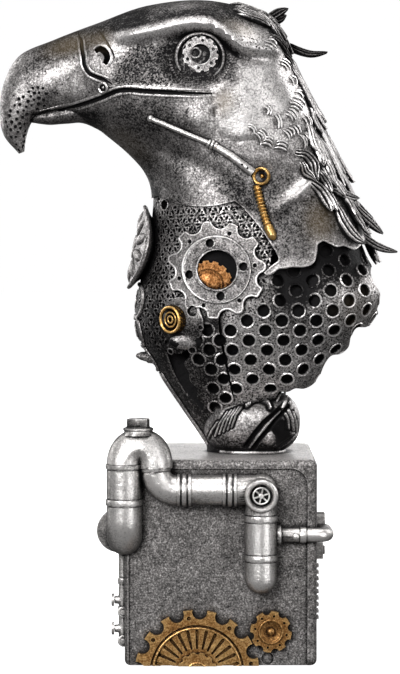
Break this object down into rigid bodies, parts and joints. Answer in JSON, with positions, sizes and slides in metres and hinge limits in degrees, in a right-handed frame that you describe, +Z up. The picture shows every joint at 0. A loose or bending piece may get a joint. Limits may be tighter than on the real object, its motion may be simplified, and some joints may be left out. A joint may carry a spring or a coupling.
{
  "type": "bird of prey sculpture",
  "caption": "Head and neck of a hooked-beak bird of prey in antique silver, with perforated plates and gears, on a cube plinth with pipes.",
  "frame": {"origin": "centre of the plinth's underside", "axes": "+Z up along the height; the beak points along -X; -Y is the face with the pipes and gears"},
  "size_m": [0.1988, 0.1086, 0.3236],
  "materials": {
    "antique_silver": "antiqued silver plate over a cast body, near black in the recesses, bright on worn edges",
    "dark_pewter": "dark stippled pewter with worn bright rims",
    "bright_pipe": "polished silver with a dark wash at the collars",
    "bronze": "golden bronze, dark in the tooth roots",
    "brass": "bright gold coloured brass",
    "copper": "copper, satin with dark recesses"
  },
  "bodies": {
    "root": {"bird": "antique_silver", "plinth": "dark_pewter", "pipe_run": "bright_pipe", "side_pipe": "bright_pipe", "side_rack": "bright_pipe", "half_gear": "bronze", "small_gear": "bronze", "cheek_rod_left": "bright_pipe", "cheek_rod_right": "bright_pipe", "spring_strut_left": "brass", "spring_strut_right": "brass", "porthole_gear_left": "copper", "porthole_gear_right": "copper", "copper_ring_left": "copper", "copper_ring_right": "copper"}
  },
  "joints": []
}
